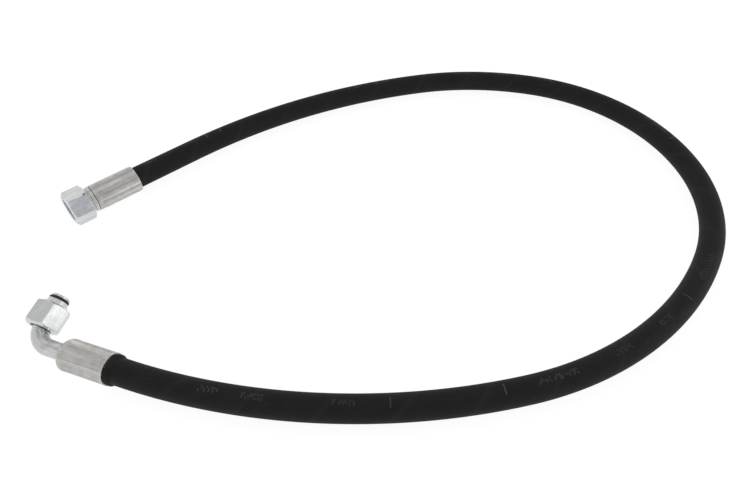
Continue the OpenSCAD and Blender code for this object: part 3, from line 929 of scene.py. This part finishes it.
def make_end_a():
    """End A: ferrule, insert with collar and cone nose, thrust wire, O-ring and swivel nut."""
    shell = ferrule("ferrule_a_finished", FERRULE_A_LEN, CRIMP_PLAIN_A, FERRULE_A_EDGE, LIP_A_R, END_A)
    finished(shell, "end_a", "ferrule_a")
    groove_r = COLLAR_R - COLLAR_GROOVE
    wire_at = NUT_A_BACK + WIRE_PLACE
    wire_groove_r = NECK_R - WIRE_GROOVE
    profile = insert_tail(LIP_GROOVE_A_R) + [
        (LIP_GROOVE_A_R, COLLAR_START, 0),
        (COLLAR_R, COLLAR_START, 0.25 * MM),
        (COLLAR_R, COLLAR_END - 1.65 * MM, 0.12 * MM),
        (groove_r, COLLAR_END - 1.45 * MM, 0),
        (groove_r, COLLAR_END - 1.1 * MM, 0),
        (COLLAR_R, COLLAR_END - 0.9 * MM, 0.12 * MM),
        (COLLAR_R - 0.3 * MM, COLLAR_END, 0.25 * MM),
        (NECK_R, COLLAR_END, 0.3 * MM),
        (NECK_R, wire_at - WIRE_R, 0),
        (wire_groove_r, wire_at - WIRE_R * 0.6, 0.3 * MM),
        (wire_groove_r, wire_at + WIRE_R * 0.6, 0.3 * MM),
        (NECK_R, wire_at + WIRE_R, 0),
        (NECK_R, NOSE_A - CONE_LEN - 1.2 * MM, 0.2 * MM),
    ]
    profile += cone_nose(NOSE_A, CONE_A_TIP_R, O_RING_A_R) + [(INSERT_BORE_R, NOSE_A, 0.3 * MM)]
    core = turned("insert_a_finished", profile, END_A, INSERT_LOOK, 160)
    finished(core, "end_a", "insert_a")
    wire = torus(
        "thrust_wire_a_finished", WIRE_RING_R, 2 * WIRE_R, wire_at, END_A, WIRE_LOOK,
        start=math.radians(8), turn=math.radians(344),
    )
    finished(wire, "end_a", "thrust_wire_a")
    finished(o_ring("o_ring_a_finished", O_RING_A_R, NOSE_A, END_A), "end_a", "o_ring_a")
    nut_place = END_A @ Matrix.Translation((0, 0, NUT_A_BACK))
    rear_r = NECK_R + 0.3 * MM
    nut = union_nut("nut_a_finished", NUT_A_HALF_FLATS, NUT_A_THREAD_R, rear_r, NUT_A_TURN, nut_place)
    drill(nut, wire_hole(nut_place))
    finished(nut, "nut_a", "nut_a")


def wire_hole(nut_place):
    """Cutter for the hole through which the thrust wire is fed into nut A."""
    out = Vector((math.cos(NUT_A_TURN), math.sin(NUT_A_TURN), 0))
    hole = place(UP * WIRE_PLACE + out * WIRE_RING_R, UP, out)
    ends = [Vector((0, 0, height)) for height in (0.0, 10 * MM)]
    frames = [(Vector((1, 0, 0)), Vector((0, 1, 0)))] * 2
    section = circle_section(WIRE_HOLE_R, 32)
    return swept_ring("wire_hole", ends, frames, section, False, nut_place @ hole, None)


def o_ring(name, groove_r, tip, matrix):
    """O-ring in the groove of the cone nose that ends at the tip."""
    ring_r = groove_r + O_RING_THICK / 2
    return torus(name, ring_r, O_RING_THICK - 0.02 * MM, tip - O_RING_BACK, matrix, SEAL_LOOK)


def make_end_b():
    """End B: ferrule, insert with a socket, bent tube, cone head, O-ring and sliding nut."""
    shell = ferrule("ferrule_b_finished", FERRULE_B_LEN, CRIMP_PLAIN_B, FERRULE_B_ROUND, LIP_B_R, END_B)
    finished(shell, "end_b", "ferrule_b")
    insert_end = FERRULE_B_LEN - 0.1 * MM
    profile = insert_tail(LIP_GROOVE_B_R) + [
        (LIP_GROOVE_B_R, insert_end, 0.1 * MM),
        (SOCKET_R, insert_end, 0.1 * MM),
        (SOCKET_R, SOCKET_B, 0),
        (INSERT_BORE_R, SOCKET_B, 0),
    ]
    core = turned("insert_b_finished", profile, END_B, INSERT_LOOK, 128)
    finished(core, "end_b", "insert_b")
    finished(bent_tube(), "end_b", "elbow_tube_b")
    cone_base = ELBOW_LEG - CONE_LEN
    socket_end = cone_base - 1.45 * MM
    shoulder = cone_base - 3.2 * MM
    back = SHOULDER_R - SOCKET_R - 0.1 * MM
    profile = [
        (ELBOW_BORE_R, socket_end, 0),
        (SOCKET_R, socket_end, 0),
        (SOCKET_R, shoulder - back, 0.02 * MM),
        (SOCKET_R + 0.12 * MM, shoulder - back, 0.05 * MM),
        (SHOULDER_R, shoulder, 0.2 * MM),
        (SHOULDER_R, shoulder + 2 * MM, 0.25 * MM),
    ]
    profile += cone_nose(ELBOW_LEG, CONE_B_TIP_R, O_RING_B_R) + [(ELBOW_BORE_R, ELBOW_LEG, 0.3 * MM)]
    head = turned("cone_head_b_finished", profile, LEG_B, INSERT_LOOK, 160)
    finished(head, "end_b", "cone_head_b")
    finished(o_ring("o_ring_b_finished", O_RING_B_R, ELBOW_LEG, LEG_B), "end_b", "o_ring_b")
    nut_place = LEG_B @ Matrix.Translation((0, 0, NUT_B_BACK))
    nut = union_nut("nut_b_finished", NUT_B_HALF_FLATS, NUT_B_THREAD_R, NUT_B_REAR_R, NUT_B_TURN, nut_place)
    finished(nut, "nut_b", "nut_b")


ELBOW_STEPS = 40
ELBOW_SEGMENTS = 72


def elbow_line():
    """Centres along the elbow with the direction to its outer side, in a frame whose X is the ferrule's axis
    and whose Y points away from the leg."""
    start = SOCKET_B + 0.05 * MM
    bend_start = ELBOW_CORNER - ELBOW_BEND
    leg_end = ELBOW_LEG - CONE_LEN - 1.5 * MM
    line = [(Vector((x, 0, 0)), Vector((0, 1, 0))) for x in np.linspace(start, bend_start, 8)[:-1]]
    for i in range(ELBOW_STEPS + 1):
        turn = math.pi / 2 * i / ELBOW_STEPS
        ahead, aside = ELBOW_BEND * math.sin(turn), ELBOW_BEND * (1 - math.cos(turn))
        line.append((Vector((bend_start + ahead, -aside, 0)), Vector((math.sin(turn), math.cos(turn), 0))))
    for y in np.linspace(ELBOW_BEND, leg_end, 8)[1:]:
        line.append((Vector((ELBOW_CORNER, -y, 0)), Vector((1, 0, 0))))
    return line


def bent_tube():
    """Elbow tube, hollow from end to end."""
    line = elbow_line()
    vertices, straight = [], []
    along = 0.0
    before = line[0][0]
    for centre, side in line:
        along += (centre - before).length
        before = centre
        for radius in (ELBOW_R, ELBOW_BORE_R):
            section = circle_section(radius, ELBOW_SEGMENTS)
            vertices += [centre + side * a + UP * b for a, b in section]
            straight += [(a, b, along) for a, b in section]
    faces = pipe_faces(len(line), ELBOW_SEGMENTS)
    piece = new_piece("elbow_tube_b_finished", vertices, faces, ELBOW_PLANE, TUBE_LOOK)
    store_straight(piece, straight)
    return piece


make_hose()
make_end_a()
make_end_b()


# ---------- Floor, light and camera ----------

FLOOR_HALF = 12
FLOOR_SEEN = 0.90
FLOOR_MIRRORED = 0.70
WORLD_LIGHT = 1.0


def make_floor(level):
    """Large plain floor, so pale that the soft shadows almost vanish. The camera sees it whiter than the
    metal does."""
    size = FLOOR_HALF
    vertices = [(-size, -size, level), (size, -size, level), (size, size, level), (-size, size, level)]
    floor = new_piece("floor", vertices, [(0, 1, 2, 3)])
    look = Look("floor")
    look.nodes.remove(look.shader)
    out = look.nodes["Material Output"]
    path = look.node("ShaderNodeLightPath")
    glow = look.node("ShaderNodeEmission")
    glow.inputs["Color"].default_value = (1, 1, 1, 1)
    brightness = look.spread(path.outputs["Is Camera Ray"], 0, 1, FLOOR_MIRRORED, FLOOR_SEEN)
    look.feed(brightness, glow.inputs["Strength"])
    matt = look.node("ShaderNodeBsdfDiffuse", Roughness=0.5)
    matt.inputs["Color"].default_value = (0.22, 0.22, 0.22, 1)
    both = look.node("ShaderNodeAddShader")
    look.links.new(glow.outputs[0], both.inputs[0])
    look.links.new(matt.outputs[0], both.inputs[1])
    look.links.new(both.outputs[0], out.inputs["Surface"])
    floor.data.materials.append(look.material)


def soft_light(name, spot, target, size, power):
    """Square area light aimed at the target."""
    data = bpy.data.lights.new(name, "AREA")
    data.shape = "SQUARE"
    data.size = size
    data.energy = power
    light = bpy.data.objects.new(name, data)
    light.location = spot
    light.rotation_mode = "QUATERNION"
    light.rotation_quaternion = (Vector(target) - Vector(spot)).to_track_quat("-Z", "Y")
    bpy.context.scene.collection.objects.link(light)


# Surroundings as (sine of the elevation, colour): towards the camera and behind the object
SKY_FRONT = (
    (0.0, (1.00, 1.00, 0.99)),
    (0.17, (0.92, 0.93, 0.93)),
    (0.40, (0.33, 0.36, 0.40)),
    (0.70, (0.74, 0.74, 0.73)),
    (0.92, (0.50, 0.51, 0.52)),
)
SKY_BACK = (
    (0.0, (0.80, 0.80, 0.79)),
    (0.30, (0.83, 0.83, 0.82)),
    (0.58, (0.82, 0.82, 0.81)),
    (1.0, (0.46, 0.46, 0.46)),
)


def make_world():
    """Surroundings for the metal to mirror: pale near the ground, dim and bluish at the camera's height, pale
    above it and behind the object, and grey overhead."""
    world = bpy.data.worlds.new("studio")
    world.use_nodes = True
    nodes, links = world.node_tree.nodes, world.node_tree.links
    where = nodes.new("ShaderNodeTexCoord")
    split = nodes.new("ShaderNodeSeparateXYZ")
    links.new(where.outputs["Generated"], split.inputs[0])
    blend = nodes.new("ShaderNodeMix")
    blend.data_type = "RGBA"
    for stops, socket in ((SKY_FRONT, blend.inputs[6]), (SKY_BACK, blend.inputs[7])):
        ramp = nodes.new("ShaderNodeValToRGB")
        ramp.color_ramp.interpolation = "EASE"
        for index, (height, colour) in enumerate(stops):
            elements = ramp.color_ramp.elements
            element = elements[index] if index < 2 else elements.new(height)
            element.position = height
            element.color = (*colour, 1)
        links.new(split.outputs["Z"], ramp.inputs["Fac"])
        links.new(ramp.outputs["Color"], socket)
    behind = nodes.new("ShaderNodeMapRange")
    behind.interpolation_type = "SMOOTHSTEP"
    behind.inputs["From Min"].default_value = -0.5
    behind.inputs["From Max"].default_value = 0.5
    links.new(split.outputs["Y"], behind.inputs["Value"])
    links.new(behind.outputs["Result"], blend.inputs[0])
    links.new(blend.outputs[2], nodes["Background"].inputs["Color"])
    nodes["Background"].inputs["Strength"].default_value = WORLD_LIGHT
    bpy.context.scene.world = world


CAMERA_SPOT = Vector((-65.1, -534.6, 404.0)) * MM
CAMERA_AZIMUTH = math.radians(-41.03)
CAMERA_ELEVATION = math.radians(46.8)
CAMERA_ROLL = math.radians(-1.4)
CAMERA_LENS_MM = 28.8


def make_camera():
    """Camera at the viewing angle of the reference view."""
    data = bpy.data.cameras.new("camera")
    data.sensor_width = 36
    data.lens = CAMERA_LENS_MM
    data.clip_start = 0.01
    data.clip_end = 50
    camera = bpy.data.objects.new("camera", data)
    heading = Vector((-math.sin(CAMERA_AZIMUTH), math.cos(CAMERA_AZIMUTH), 0))
    ahead = heading * math.cos(CAMERA_ELEVATION) - UP * math.sin(CAMERA_ELEVATION)
    right = ahead.cross(UP).normalized()
    above = right.cross(ahead)
    tilted = right * math.cos(CAMERA_ROLL) + above * math.sin(CAMERA_ROLL)
    camera.matrix_world = place(CAMERA_SPOT, tilted, -ahead)
    bpy.context.scene.collection.objects.link(camera)
    bpy.context.scene.camera = camera


make_floor(cad_box[0].z - 0.2 * MM)
middle = (cad_box[0] + cad_box[1]) / 2
soft_light("right", middle + Vector((1.5, -1.5, 0.65)), middle, size=1.0, power=4)
soft_light("top", middle + Vector((-0.2, 0.0, 2.0)), middle, size=1.3, power=3)
make_world()
make_camera()
bpy.context.scene.view_settings.view_transform = "Standard"
